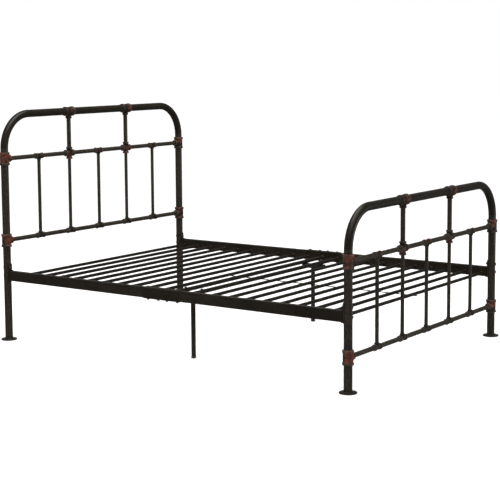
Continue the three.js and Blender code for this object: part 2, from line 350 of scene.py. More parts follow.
def makeSandGroup():  # the fine sandy skin of sprayed powder, or of a casting
    group, given, gives = newGroup(
        "sandySkin",
        [("Position", "Vector", None), ("Grain Scale", "Float", 900.0), ("Lump Scale", "Float", 160.0),
         ("Lump Share", "Float", 0.4), ("Base Roughness", "Float", 0.5)],
        [("Height", "Float"), ("Roughness", "Float")],
    )
    grain = noiseNode(group, given["Position"], given["Grain Scale"], 2.0, 0.5)
    lump = noiseNode(group, given["Position"], given["Lump Scale"], 3.0, 0.5)
    grainPart = mathNode(group, "MULTIPLY", grain, mathNode(group, "SUBTRACT", 1.0, given["Lump Share"]))
    lumpPart = mathNode(group, "MULTIPLY", lump, given["Lump Share"])
    group.links.new(mathNode(group, "ADD", grainPart, lumpPart), gives["Height"])
    patchy = rangeNode(group, noiseNode(group, given["Position"], 22.0, 4.0), 0.3, 0.7, -0.09, 0.09)
    speckle = rangeNode(group, grain, 0.3, 0.7, -0.05, 0.05)
    shift = mathNode(group, "ADD", patchy, speckle)
    group.links.new(mathNode(group, "ADD", given["Base Roughness"], shift, True), gives["Roughness"])
    return group


def makeRustGroup():  # rubbed rust-red paint: broad patches, more of it in the inner corners
    group, given, gives = newGroup(
        "rubbedRust",
        [("Position", "Vector", None), ("Crevice", "Float", 0.0), ("Scale", "Float", 30.0),
         ("Coverage", "Float", 0.5), ("Deep Tone", "Color", (0, 0, 0, 1)),
         ("Bright Tone", "Color", (1, 1, 1, 1))],
        [("Mask", "Float"), ("Color", "Color")],
    )
    patches = noiseNode(group, given["Position"], given["Scale"], 5.0, 0.62)
    raised = mathNode(group, "ADD", patches, mathNode(group, "MULTIPLY", given["Crevice"], 0.16))
    edge = mathNode(group, "SUBTRACT", 1.0, given["Coverage"])
    low = mathNode(group, "ADD", mathNode(group, "MULTIPLY", edge, 0.44), 0.22)
    high = mathNode(group, "ADD", low, 0.16)
    group.links.new(rangeNode(group, raised, low, high, 0.0, 1.0), gives["Mask"])
    tint = noiseNode(group, given["Position"], mathNode(group, "MULTIPLY", given["Scale"], 2.3), 4.0)
    tone = rangeNode(group, tint, 0.38, 0.66, 0.0, 1.0)
    group.links.new(mixNode(group, tone, given["Deep Tone"], given["Bright Tone"]), gives["Color"])
    return group


def makeEdgeGroup():  # paint rubbed thin on the outer corners with a painted highlight there, broken up so that it isn't a drawn line
    group, given, gives = newGroup(
        "wornAndHighlitEdges",
        [("Position", "Vector", None), ("Edge", "Float", 0.0), ("Amount", "Float", 0.6),
         ("Scale", "Float", 120.0)],
        [("Mask", "Float")],
    )
    broken = rangeNode(group, noiseNode(group, given["Position"], given["Scale"], 4.0), 0.34, 0.66, 0.15, 1.0)
    sharp = mathNode(group, "POWER", given["Edge"], 1.6)
    wornAndHighlit = mathNode(group, "MULTIPLY", sharp, broken)
    group.links.new(mathNode(group, "MULTIPLY", wornAndHighlit, given["Amount"], True), gives["Mask"])
    return group


shared = {
    "mottle": makeMottleGroup(),
    "sand": makeSandGroup(),
    "rust": makeRustGroup(),
    "edge": makeEdgeGroup(),
}


def groupNode(tree, name, links, **values):
    node = addNode(tree, "ShaderNodeGroup", node_tree=shared[name])
    for label, source in links.items():
        tree.links.new(source, node.inputs[label])
    return fillSockets(node, **values)


def makeMetalFinish(name, look):
    material = bpy.data.materials.new(name)
    material.use_nodes = True
    tree = material.node_tree
    shader = tree.nodes["Principled BSDF"]
    position = addNode(tree, "ShaderNodeTexCoord").outputs["Object"]
    edge = addNode(tree, "ShaderNodeAttribute", attribute_name="edgeWearAndHighlight").outputs["Fac"]
    crevice = addNode(tree, "ShaderNodeAttribute", attribute_name="crevice").outputs["Fac"]
    zone = addNode(tree, "ShaderNodeAttribute", attribute_name="rustZone").outputs["Fac"]
    zonePart = mathNode(tree, "MULTIPLY", zone, look["zoneShare"])
    coverage = mathNode(tree, "ADD", zonePart, look["rustCoverage"])
    tone = groupNode(tree, "mottle", {"Position": position}, Scale=look["mottleScale"],
                     Dark_Tone=look["dark"], Light_Tone=look["light"])
    rust = groupNode(tree, "rust", {"Position": position, "Crevice": crevice, "Coverage": coverage},
                     Scale=look["rustScale"], Deep_Tone=look["rustDeep"], Bright_Tone=look["rustBright"])
    wornAndHighlit = groupNode(tree, "edge", {"Position": position, "Edge": edge}, Amount=look["edgeAmount"])
    sand = groupNode(tree, "sand", {"Position": position}, Grain_Scale=look["grainScale"],
                     Lump_Share=look["lumpShare"], Base_Roughness=look["roughness"])
    rusty = mixNode(tree, rust.outputs["Mask"], tone.outputs["Color"], rust.outputs["Color"])
    # the outer corners take the lighter worn tone, which is worn paint and a painted highlight
    tree.links.new(mixNode(tree, wornAndHighlit.outputs["Mask"], rusty, look["wornAndHighlightTone"]), shader.inputs["Base Color"])
    tree.links.new(sand.outputs["Roughness"], shader.inputs["Roughness"])
    bump = addNode(tree, "ShaderNodeBump")
    fillSockets(bump, Strength=look["bumpStrength"], Distance=look["bumpDepth"])
    tree.links.new(sand.outputs["Height"], bump.inputs["Height"])
    tree.links.new(bump.outputs["Normal"], shader.inputs["Normal"])
    shader.inputs["Metallic"].default_value = look["metallic"]
    shader.inputs["Specular IOR Level"].default_value = look["specular"]
    return material


# the worn tone in each look is worn paint together with a painted highlight on the outer corners
paintLook = {  # sprayed tubes
    "mottleScale": 7.0, "dark": (0.0074, 0.0062, 0.0039, 1), "light": (0.0108, 0.0091, 0.0059, 1),
    "rustScale": 16.0, "rustCoverage": 0.06, "zoneShare": 0.0, "rustDeep": (0.0090, 0.0062, 0.0038, 1),
    "rustBright": (0.0130, 0.0082, 0.0050, 1), "edgeAmount": 0.45, "wornAndHighlightTone": (0.06, 0.048, 0.038, 1),
    "grainScale": 1100.0, "lumpShare": 0.35, "roughness": 0.33, "bumpStrength": 0.25, "bumpDepth": 0.0003,
    "metallic": 0.0, "specular": 0.11,
}
castLook = {  # small fittings: bronze paint half rubbed over with rust red
    **paintLook,
    "mottleScale": 20.0, "rustScale": 48.0, "rustCoverage": 0.12, "zoneShare": 0.56,
    "rustDeep": (0.026, 0.0105, 0.0080, 1), "rustBright": (0.078, 0.0225, 0.0150, 1), "edgeAmount": 0.85,
    "wornAndHighlightTone": (0.115, 0.092, 0.078, 1), "lumpShare": 0.6, "roughness": 0.42, "bumpStrength": 0.5,
    "bumpDepth": 0.0007,
}
collarLook = {  # the collars on the posts, the reddest pieces
    **castLook,
    "rustScale": 30.0, "rustCoverage": 0.26, "zoneShare": 0.62, "rustDeep": (0.032, 0.0140, 0.0100, 1),
    "rustBright": (0.100, 0.0290, 0.0150, 1),
}
boltLook = {  # blackened steel
    **paintLook,
    "dark": (0.008, 0.008, 0.008, 1), "light": (0.016, 0.015, 0.014, 1), "rustCoverage": 0.1,
    "edgeAmount": 0.8, "wornAndHighlightTone": (0.10, 0.09, 0.08, 1), "metallic": 0.3, "bumpStrength": 0.15,
}

bronzePaint = makeMetalFinish("bronzePaint", paintLook)
castFinish = makeMetalFinish("castFittingPaint", castLook)
collarFinish = makeMetalFinish("rustCollarPaint", collarLook)
boltFinish = makeMetalFinish("blackBolt", boltLook)


glideLook = {  # moulded black plastic
    "mottleScale": 40.0, "dark": (0.006, 0.006, 0.006, 1), "light": (0.014, 0.014, 0.013, 1),
    "grainScale": 700.0, "lumpShare": 0.2, "roughness": 0.55, "bumpStrength": 0.3, "bumpDepth": 0.0003,
}


def makeGlideFinish(look):
    material = bpy.data.materials.new("blackGlide")
    material.use_nodes = True
    tree = material.node_tree
    shader = tree.nodes["Principled BSDF"]
    position = addNode(tree, "ShaderNodeTexCoord").outputs["Object"]
    tone = groupNode(tree, "mottle", {"Position": position}, Scale=look["mottleScale"],
                     Dark_Tone=look["dark"], Light_Tone=look["light"])
    sand = groupNode(tree, "sand", {"Position": position}, Grain_Scale=look["grainScale"],
                     Lump_Share=look["lumpShare"], Base_Roughness=look["roughness"])
    bump = addNode(tree, "ShaderNodeBump")
    fillSockets(bump, Strength=look["bumpStrength"], Distance=look["bumpDepth"])
    tree.links.new(tone.outputs["Color"], shader.inputs["Base Color"])
    tree.links.new(sand.outputs["Roughness"], shader.inputs["Roughness"])
    tree.links.new(sand.outputs["Height"], bump.inputs["Height"])
    tree.links.new(bump.outputs["Normal"], shader.inputs["Normal"])
    return material


glideFinish = makeGlideFinish(glideLook)
print("finishes made")

# boards: the bent tube with its flanges

arch = {"tube": 0.019, "sides": 40, "bend": 0.170, "bendSteps": 22, "foot": 0.002}
flange = {"radius": 0.039, "sides": 64}
flange["rings"] = [
    (0.0384, 0.0), (0.039, 0.0006), (0.039, 0.0036), (0.0386, 0.0048), (0.0376, 0.0057),
    (0.0362, 0.006), (0.0225, 0.0062), (0.0208, 0.0068), (0.0197, 0.0084), (0.0190, 0.0105),
]


def makeArch(name, postX, y, top):
    deselectAll()
    foot = (-postX, y, arch["foot"])
    bpy.ops.mesh.primitive_circle_add(vertices=arch["sides"], radius=arch["tube"], location=foot)
    piece = nameActive(name)
    editAll()
    rise = top - arch["bend"] - arch["foot"]
    across = 2 * (postX - arch["bend"])
    bpy.ops.mesh.extrude_region_move(TRANSFORM_OT_translate={"value": (0, 0, rise)})
    for side in (-1, 1):
        if side > 0:
            bpy.ops.mesh.extrude_region_move(TRANSFORM_OT_translate={"value": (across, 0, 0)})
        centre = (side * (postX - arch["bend"]), y, top - arch["bend"])
        bpy.ops.mesh.spin(steps=arch["bendSteps"], angle=-math.pi / 2, center=centre, axis=(0, 1, 0))
    bpy.ops.mesh.extrude_region_move(TRANSFORM_OT_translate={"value": (0, 0, -rise)})
    bpy.ops.mesh.select_all(action="SELECT")
    bpy.ops.mesh.remove_doubles(threshold=mergeDistance)
    bpy.ops.mesh.fill_holes(sides=0)
    leaveEdit()
    cleanMesh(piece)
    return piece


boards = {}
for board in ("headboard", "footboard"):
    low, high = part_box(board + "_arch")
    boards[board] = {
        "postX": high.x - flange["radius"],
        "y": (low.y + high.y) / 2,
        "top": high.z - arch["tube"],
        "mid": middleOf(board + "_post_tee_upper_left").z,
        "low": middleOf(board + "_post_tee_lower_left").z,
        "out": 1 if low.y > 0 else -1,
    }

flangeModel = turnPiece("flangeModel", flange["rings"], flange["sides"])
for board, at in boards.items():
    tube = makeArch(board + "Arch", at["postX"], at["y"], at["top"])
    parts = [tube]
    for side in (-1, 1):
        parts.append(copyPiece(flangeModel, "flange", (side * at["postX"], at["y"], 0)))
    dressPiece(smoothPiece(joinPieces(parts)), bronzePaint, "bronze_pipe", board + "_arch")
bpy.data.objects.remove(flangeModel)
print("arches bent")

# collars on the posts, with the nipple that holds a rail pointing to +x

collar = {"bore": 0.0191, "sides": 56, "nippleSides": 40, "railBoreStart": 0.0215, "reach": 0.05}
railBoreSize = {"radius": 0.0111, "sides": 32}  # rails and drop tubes are the same stock
collarRust = {"left": 0.70, "right": 0.36, "rise": 17}  # more towards the top
collar["rings"] = [
    (0.0247, -0.0320), (0.0256, -0.0312), (0.0258, -0.0300), (0.0258, -0.0236), (0.0250, -0.0226),
    (0.0238, -0.0219), (0.0232, -0.0208), (0.0233, -0.0100), (0.0234, 0.0030), (0.0232, 0.0186),
    (0.0238, 0.0198), (0.0252, 0.0206), (0.0260, 0.0217), (0.0260, 0.0303), (0.0257, 0.0314),
    (0.0248, 0.0320),
]
collar["nipple"] = [
    (0.0184, 0.0100), (0.0184, 0.0195), (0.0175, 0.0218), (0.0164, 0.0240), (0.0157, 0.0262),
    (0.0155, 0.0286), (0.0166, 0.0294), (0.0177, 0.0303), (0.0180, 0.0314), (0.0180, 0.0352),
    (0.0176, 0.0364), (0.0167, 0.0370),
]


def makeBore(radius, low, high, sides):
    return turnPiece("bore", [(radius, low), (radius, high)], sides)


def makeCollar():
    body = turnPiece("collarModel", collar["rings"], collar["sides"])
    nipple = aimPiece(turnPiece("nipple", collar["nipple"], collar["nippleSides"]), "x")
    combine(body, nipple, "UNION")
    postBore = makeBore(collar["bore"], -collar["reach"], collar["reach"], collar["sides"])
    combine(body, postBore, "DIFFERENCE")
    radius, sides = railBoreSize["radius"], railBoreSize["sides"]
    railBore = makeBore(radius, collar["railBoreStart"], collar["reach"], sides)
    return combine(body, aimPiece(railBore, "x"), "DIFFERENCE")


collarModel = smoothPiece(makeCollar())
for board, at in boards.items():
    for level, height in (("upper", at["mid"]), ("lower", at["low"])):
        for hand, side in (("left", -1), ("right", 1)):
            name = board + level.capitalize() + "Collar" + hand.capitalize()
            turn = 0.0 if side < 0 else math.pi
            piece = copyPiece(collarModel, name, (side * at["postX"], at["y"], height), turn)
            markZone(piece, lambda point: collarRust[hand] + collarRust["rise"] * (point.z - height))
            dressPiece(piece, collarFinish, "rust_fitting", f"{board}_post_tee_{level}_{hand}")
bpy.data.objects.remove(collarModel)
print("post collars set")

# fittings on the rails and the drop tubes that hang from the arch

smallTee = {"sides": 36, "socketSides": 28}
spindleBoreSize = {"radius": 0.0087, "sides": 24}
boreSpan = {"start": 0.0115, "reach": 0.04}  # a socket starts just outside the rail's bore
smallTee["sleeve"] = [
    (0.0138, -0.0260), (0.0147, -0.0256), (0.0150, -0.0246), (0.0150, -0.0202), (0.0146, -0.0191),
    (0.0137, -0.0184), (0.0131, -0.0174), (0.0130, -0.0090), (0.0132, 0.0), (0.0130, 0.0090),
    (0.0131, 0.0174), (0.0137, 0.0184), (0.0146, 0.0191), (0.0150, 0.0202), (0.0150, 0.0246),
    (0.0147, 0.0256), (0.0138, 0.0260),
]
smallTee["socket"] = [
    (0.0126, 0.0), (0.0124, 0.0105), (0.0116, 0.0132), (0.0111, 0.0150), (0.0110, 0.0186),
    (0.0108, 0.0196), (0.0102, 0.0200),
]
crossing = {"sides": 40}
crossing["sleeve"] = [
    (0.0162, -0.0300), (0.0172, -0.0296), (0.0175, -0.0285), (0.0175, -0.0222), (0.0169, -0.0210),
    (0.0155, -0.0201), (0.0143, -0.0192), (0.0139, -0.0174), (0.0144, -0.0060), (0.0144, 0.0060),
    (0.0139, 0.0174), (0.0143, 0.0192), (0.0155, 0.0201), (0.0169, 0.0210), (0.0175, 0.0222),
    (0.0175, 0.0285), (0.0172, 0.0296), (0.0162, 0.0300),
]
crossing["upright"] = [
    (0.0153, -0.0310), (0.0162, -0.0306), (0.0165, -0.0296), (0.0165, -0.0236), (0.0160, -0.0226),
    (0.0147, -0.0218), (0.0139, -0.0208), (0.0138, -0.0130), (0.0141, -0.0060), (0.0141, 0.0060),
    (0.0138, 0.0130), (0.0139, 0.0208), (0.0147, 0.0218), (0.0160, 0.0226), (0.0165, 0.0236),
    (0.0165, 0.0296), (0.0162, 0.0306), (0.0153, 0.0310),
]


def makeSmallTee():  # its socket points up
    body = aimPiece(turnPiece("smallTeeModel", smallTee["sleeve"], smallTee["sides"]), "x")
    combine(body, turnPiece("socket", smallTee["socket"], smallTee["socketSides"]), "UNION")
    start, reach = boreSpan["start"], boreSpan["reach"]
    railBore = makeBore(railBoreSize["radius"], -reach, reach, railBoreSize["sides"])
    combine(body, aimPiece(railBore, "x"), "DIFFERENCE")
    spindleBore = makeBore(spindleBoreSize["radius"], start, reach, spindleBoreSize["sides"])
    return combine(body, spindleBore, "DIFFERENCE")


def makeCrossing():
    body = aimPiece(turnPiece("crossingModel", crossing["sleeve"], crossing["sides"]), "x")
    combine(body, turnPiece("upright", crossing["upright"], crossing["sides"]), "UNION")
    start, reach = boreSpan["start"], boreSpan["reach"]
    railBore = makeBore(railBoreSize["radius"], -reach, reach, railBoreSize["sides"])
    combine(body, aimPiece(railBore, "x"), "DIFFERENCE")
    dropBore = makeBore(railBoreSize["radius"], start, reach, railBoreSize["sides"])
    combine(body, dropBore, "DIFFERENCE")
    spindleBore = makeBore(spindleBoreSize["radius"], -reach, -start, spindleBoreSize["sides"])
    return combine(body, spindleBore, "DIFFERENCE")


archTee = {"sides": 56, "branchSides": 40, "bore": 0.0191, "reach": 0.05, "socketRoof": 0.0225}
archTee["sleeve"] = [
    (0.0206, -0.0310), (0.0226, -0.0305), (0.0238, -0.0292), (0.0243, -0.0272), (0.0244, -0.0238),
    (0.0238, -0.0216), (0.0229, -0.0198), (0.0226, -0.0170), (0.0225, 0.0150), (0.0228, 0.0166),
    (0.0238, 0.0176), (0.0248, 0.0184), (0.0250, 0.0196), (0.0250, 0.0292), (0.0247, 0.0304),
    (0.0236, 0.0310),
]
archTee["branch"] = [
    (0.0178, -0.0120), (0.0168, -0.0200), (0.0155, -0.0236), (0.0146, -0.0256), (0.0143, -0.0266),
    (0.0152, -0.0272), (0.0159, -0.0281), (0.0161, -0.0292), (0.0161, -0.0352), (0.0157, -0.0364),
    (0.0149, -0.0370),
]


def makeArchTee():
    body = aimPiece(turnPiece("archTeeModel", archTee["sleeve"], archTee["sides"]), "x")
    combine(body, turnPiece("branch", archTee["branch"], archTee["branchSides"]), "UNION")
    reach = archTee["reach"]
    archBore = makeBore(archTee["bore"], -reach, reach, archTee["sides"])
    combine(body, aimPiece(archBore, "x"), "DIFFERENCE")
    tubeBore = makeBore(railBoreSize["radius"], -reach, -archTee["socketRoof"], railBoreSize["sides"])
    return combine(body, tubeBore, "DIFFERENCE")


def plainTube(name, radius, sides, low, high):  # straight tube with eased ends
    inner = radius - tubeEase
    rings = [(inner, low), (radius, low + tubeEase), (radius, high - tubeEase), (inner, high)]
    return turnPiece(name, rings, sides)


smallTeeModel = smoothPiece(makeSmallTee())
smallTeeDown = copyPiece(smallTeeModel, "smallTeeDown", (0, 0, 0))
aimPiece(smallTeeDown, "-z")
fittingRust = {"crossing": 0.50, "fall": 16, "archTee": 0.25, "archRise": 30, "tee": 0.30, "teeRise": 20}
crossingModel = smoothPiece(makeCrossing())
markZone(crossingModel, lambda point: fittingRust["crossing"] - fittingRust["fall"] * point.z)
archTeeModel = smoothPiece(makeArchTee())
markZone(archTeeModel, lambda point: fittingRust["archTee"] + fittingRust["archRise"] * max(0.0, point.x))

rails = {"radius": 0.011, "sides": 28, "dropEnd": 0.0228}  # dropEnd is measured down from the arch's axis
spindles = {"radius": 0.0085, "sides": 24, "count": 5, "crossings": (2, 4)}
for board, at in boards.items():
    for level, height in (("Mid", at["mid"]), ("Lower", at["low"])):
        node = f"{board}_{level.lower()}_rail"
        low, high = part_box(node)
        rail = plainTube(board + level + "Rail", rails["radius"], rails["sides"], low.x, high.x)
        movePiece(aimPiece(rail, "x"), (0, at["y"], height))
        dressPiece(smoothPiece(rail), bronzePaint, "bronze_pipe", node)
    for number in range(1, spindles["count"] + 1):
        node = f"{board}_spindle_{number}"
        low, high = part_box(node)
        x = (low.x + high.x) / 2
        name = f"{board}Spindle{number}"
        spindle = plainTube(name, spindles["radius"], spindles["sides"], low.z, high.z)
        movePiece(spindle, (x, at["y"], 0))
        dressPiece(smoothPiece(spindle), bronzePaint, "bronze_pipe", node)
        isCrossing = number in spindles["crossings"]
        model = crossingModel if isCrossing else smallTeeDown
        upperTurn = math.pi if number % 3 == 1 and not isCrossing else 0.0
        piece = copyPiece(model, f"{board}MidFitting{number}", (x, at["y"], at["mid"]), upperTurn)
        if not isCrossing:
            markZone(piece, lambda point: fittingRust["tee"] + fittingRust["teeRise"] * (point.x - x))
        dressPiece(piece, castFinish, "bronze_pipe")
        piece = copyPiece(smallTeeModel, f"{board}LowerFitting{number}", (x, at["y"], at["low"]))
        dressPiece(piece, castFinish, "bronze_pipe")
    for hand in ("left", "right"):
        node = f"{board}_drop_tube_{hand}"
        low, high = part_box(node)
        x = (low.x + high.x) / 2
        drop = plainTube(f"{board}DropTube{hand.capitalize()}", rails["radius"], rails["sides"],
                         low.z, at["top"] - rails["dropEnd"])
        movePiece(drop, (x, at["y"], 0))
        dressPiece(smoothPiece(drop), bronzePaint, "bronze_pipe", node)
        piece = copyPiece(archTeeModel, f"{board}ArchFitting{hand.capitalize()}", (x, at["y"], at["top"]))
        dressPiece(piece, castFinish, "bronze_pipe")
for model in (smallTeeModel, smallTeeDown, crossingModel, archTeeModel):
    bpy.data.objects.remove(model)
print("rails, spindles and fittings set")

# side rails: rectangular tube welded to a curved saddle that wraps the post

sideRail = {"width": 0.025, "height": 0.050, "bottom": 0.301, "corner": 0.0032, "cornerSteps": 4,
            "band": 0.0006}  # the band round each wide face keeps the edge wear and its painted highlight narrow
saddle = {"inner": 0.0193, "outer": 0.0233, "halfAngle": 1.12, "steps": 20, "bottom": 0.298, "height": 0.086,
          "ease": 0.0009, "bore": (0.28, 0.40), "boreSides": 96}
railWeld = {"stand": 0.0012, "bead": 0.0022, "corner": 0.004, "ease": 0.0018}


def makeSaddle(facing):  # facing is +1 when it opens towards +y
    deselectAll()
    thickness = saddle["outer"] - saddle["inner"]
    middle = (saddle["outer"] + saddle["inner"]) / 2
    bpy.ops.mesh.primitive_plane_add(size=1, location=(0, -middle * facing, 0), rotation=(0, math.pi / 2, 0))
    bpy.context.active_object.scale = (saddle["height"], thickness, 1)
    piece = nameActive("saddle")
    piece.data.transform(Matrix.Rotation(-saddle["halfAngle"], 4, "Z"))
    editAll()
    bpy.ops.mesh.spin(steps=saddle["steps"], angle=-2 * saddle["halfAngle"], center=(0, 0, 0), axis=(0, 0, 1))
    leaveEdit()
    cleanMesh(piece)
    return softenEdges(piece, saddle["ease"], 2)


def makeRailBar(width, low, high, height, corner):
    deselectAll()
    bpy.ops.mesh.primitive_cube_add(size=1, location=(0, (low + high) / 2, 0))
    bpy.context.active_object.scale = (width, high - low, height)
    piece = nameActive("bar")
    pickEdges(piece, lambda a, b: abs(a.y - b.y) > 0.01)
    bpy.ops.mesh.bevel(offset=corner, segments=sideRail["cornerSteps"], affect="EDGES")
    leaveEdit()
    widest = max(face.area for face in piece.data.polygons)
    pickFaces(piece, lambda face: face.area > 0.3 * widest)
    bpy.ops.mesh.inset(thickness=sideRail["band"], use_individual=True)
    leaveEdit()
    return piece


for end, facing in (("head", 1), ("foot", -1)):
    for hand, side in (("left", -1), ("right", 1)):
        node = f"side_rail_{end}_{hand}"
        low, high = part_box(node)
        board = end + "board"
        post = Vector((side * boards[board]["postX"], boards[board]["y"], 0))
        width, height = sideRail["width"], sideRail["height"]
        middle = sideRail["bottom"] + height / 2
        near = min(low.y, high.y, key=abs)
        faceY = post.y - facing * saddle["inner"]
        bar = makeRailBar(width, min(near, faceY), max(near, faceY), height, sideRail["corner"])
        movePiece(bar, (post.x, 0, middle))
        bead = railWeld["bead"]
        weldY = post.y - facing * (saddle["outer"] + railWeld["stand"])
        weldSize = (width + 2 * bead, weldY - bead, weldY + bead, height + 2 * bead)
        weld = makeRailBar(*weldSize, railWeld["corner"])
        softenEdges(weld, railWeld["ease"], 3, 30)
        movePiece(weld, (post.x, 0, middle))
        plate = movePiece(makeSaddle(facing), (post.x, post.y, saddle["bottom"] + saddle["height"] / 2))
        combine(bar, weld, "UNION")
        combine(bar, plate, "UNION")
        postBore = makeBore(saddle["inner"], *saddle["bore"], saddle["boreSides"])
        movePiece(postBore, (post.x, post.y, 0))
        combine(bar, postBore, "DIFFERENCE")
        bar.name = "sideRail" + end.capitalize() + hand.capitalize()
        dressPiece(flattenShading(smoothPiece(bar)), bronzePaint, "bronze_pipe", node)
print("side rails welded")

sleeve = {"wall": 0.002, "corner": 0.0042, "lip": 0.0005}
for hand in ("left", "right"):
    node = "rail_sleeve_" + hand
    low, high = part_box(node)
    piece = makeRailBar(high.x - low.x, low.y, high.y, high.z - low.z, sleeve["corner"])
    movePiece(piece, ((low.x + high.x) / 2, 0, (low.z + high.z) / 2))
    pickFaces(piece, lambda face: abs(face.normal.y) > 0.9)
    bpy.ops.mesh.inset(thickness=sleeve["wall"])
    bpy.ops.mesh.bridge_edge_loops()
    leaveEdit()
    cleanMesh(piece)
    softenEdges(piece, sleeve["lip"], 2)
    piece.name = "railSleeve" + hand.capitalize()
    dressPiece(flattenShading(smoothPiece(piece)), bronzePaint, "bronze_pipe", node)
print("rail sleeves set")

# slats and cross bars, each with a small weld at both rails

slat = {"radius": 0.008, "sides": 24, "bead": 0.0018, "beadLength": 0.0034, "count": 19}
crossBar = {"radius": 0.010, "sides": 32, "bead": 0.002, "beadLength": 0.004}
beadRings = ((0.8, 0.0), (1.0, 0.3), (0.6, 0.7), (0.0, 1.0))  # shares of the weld bead's height and length


def makeCrossTube(name, half, size):
    radius, bead, length = size["radius"], size["bead"], size["beadLength"]
    rings = [(radius + bead * tall, -half + length * along) for tall, along in beadRings]
    rings += [(ring, -along) for ring, along in reversed(rings)]
    return aimPiece(turnPiece(name, rings, size["sides"]), "x")


crossModels = {}
crossNodes = [(f"slat_{number:02d}", slat) for number in range(1, slat["count"] + 1)]
crossNodes += [(f"cross_bar_{number}", crossBar) for number in (1, 2)]
for node, size in crossNodes:
    low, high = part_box(node)
    key = (size["radius"], round(high.x, 4))
    if key not in crossModels:
        crossModels[key] = smoothPiece(makeCrossTube("crossModel", high.x, size))
    words = node.split("_")
    name = words[0] + "".join(word.capitalize() for word in words[1:])
    piece = copyPiece(crossModels[key], name, (0, (low.y + high.y) / 2, (low.z + high.z) / 2))
    dressPiece(piece, bronzePaint, "bronze_pipe", node)
for model in crossModels.values():
    bpy.data.objects.remove(model)

stretcherSides = 16
low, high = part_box("centre_stretcher")
middle = middleOf("centre_stretcher")
stretcher = plainTube("centreStretcher", (high.x - low.x) / 2, stretcherSides, low.y, high.y)
movePiece(aimPiece(stretcher, "y"), (middle.x, 0, middle.z))
dressPiece(smoothPiece(stretcher), bronzePaint, "bronze_pipe", "centre_stretcher")
print("slats laid")

# centre legs: a folded channel between the two cross bars, a tube below it and a plastic cap

leg = {"radius": 0.011, "sides": 32, "wall": 0.003, "fold": 0.0035, "foldSteps": 4, "channel": 0.022,
       "lip": 0.0005}
leg["flare"] = [(0.0110, 0.0066), (0.0120, 0.0044), (0.0128, 0.0028)]  # radius, and depth under the top
glide = {"sides": 40}
glide["rings"] = [
    (0.0096, 0.0), (0.0108, 0.0005), (0.0115, 0.0016), (0.0116, 0.0030), (0.0116, 0.0064),
    (0.0112, 0.0073), (0.0104, 0.0077),
]


def makeHanger(low, high, top):
    deselectAll()
    middle = ((low.x + high.x) / 2, (low.y + high.y) / 2, top - leg["channel"] / 2)
    bpy.ops.mesh.primitive_cube_add(size=1, location=middle)
    bpy.context.active_object.scale = (high.x - low.x, high.y - low.y, leg["channel"])
    piece = nameActive("hanger")
    pickFaces(piece, lambda face: face.normal.z < -0.9 or abs(face.normal.y) > 0.9)
    bpy.ops.mesh.delete(type="ONLY_FACE")
    leaveEdit()
    pickEdges(piece, lambda a, b: min(a.z, b.z) > top - 0.001 and abs(a.y - b.y) > 0.01)
    bpy.ops.mesh.bevel(offset=leg["fold"], segments=leg["foldSteps"], affect="EDGES")
    leaveEdit()
    folded = piece.modifiers.new("sheet", "SOLIDIFY")
    folded.thickness = leg["wall"]
    folded.offset = -1
    folded.use_even_offset = True
    bpy.ops.object.modifier_apply(modifier=folded.name)
    cleanMesh(piece)
    return softenEdges(piece, leg["lip"], 2)


for hand in ("left", "right"):
    node = "centre_leg_" + hand
    low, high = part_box(node)
    x, y = middleOf("leg_glide_" + hand).xy
    hanger = makeHanger(low, high, high.z)
    rings = [(leg["radius"] - tubeEase, low.z), (leg["radius"], low.z + tubeEase)]
    rings += [(radius, high.z - depth) for radius, depth in leg["flare"]]
    shank = movePiece(turnPiece("shank", rings, leg["sides"]), (x, y, 0))
    combine(hanger, shank, "UNION")
    hanger.name = "centreLeg" + hand.capitalize()
    dressPiece(flattenShading(smoothPiece(hanger)), bronzePaint, "bronze_pipe", node)
    foot = movePiece(turnPiece("legGlide" + hand.capitalize(), glide["rings"], glide["sides"]), (x, y, 0))
    dressPiece(smoothPiece(foot), glideFinish, "black_glide", "leg_glide_" + hand)
print("centre legs hung")

# bolts: a hexagon head on a washer at one end, a nut and the bolt's tip at the other

bolt = {"shank": 0.004, "head": 0.0066, "headHeight": 0.0034, "washer": 0.0085, "washerHeight": 0.0012,
        "tip": 0.0018, "nut": 0.0042, "washerEase": 0.0003, "chamfer": (0.0011, 0.0009), "tipEase": 0.0008,
        "washerSides": 28, "shankSides": 20, "flats": 6}


def makeBolt(name, grip):  # the grip runs from 0 down to -grip, with the head above it
    washer, wide, ease = bolt["washerHeight"], bolt["washer"], bolt["washerEase"]
    flat = [(wide - ease, 0.0), (wide, ease), (wide, washer - ease), (wide - ease, washer)]
    upper = turnPiece("upperWasher", flat, bolt["washerSides"])
    hexagon, (inset, slope) = bolt["head"], bolt["chamfer"]
    headTop = washer + bolt["headHeight"]
    headRings = [(hexagon, washer), (hexagon, headTop - slope), (hexagon - inset, headTop)]
    head = turnPiece("head", headRings, bolt["flats"])
    nutTop = -grip - washer
    lower = movePiece(turnPiece("lowerWasher", flat, bolt["washerSides"]), (0, 0, nutTop))
    nutEnd = nutTop - bolt["nut"]
    nutRings = [(hexagon - inset, nutEnd), (hexagon, nutEnd + slope), (hexagon, nutTop)]
    nut = turnPiece("nut", nutRings, bolt["flats"])
    tipEnd = nutEnd - bolt["tip"]
    shankRings = [(bolt["shank"] - bolt["tipEase"], tipEnd), (bolt["shank"], tipEnd + bolt["tipEase"]),
                  (bolt["shank"], washer)]
    shank = turnPiece("shank", shankRings, bolt["shankSides"])
    piece = joinPieces([upper, head, lower, nut, shank])
    piece.name = name
    return piece


def setBolt(model, name, place, way=None):
    piece = copyPiece(model, name, (0, 0, 0))
    if way:
        aimPiece(piece, way)
    movePiece(piece, place)
    dressPiece(piece, boltFinish, "bronze_pipe")


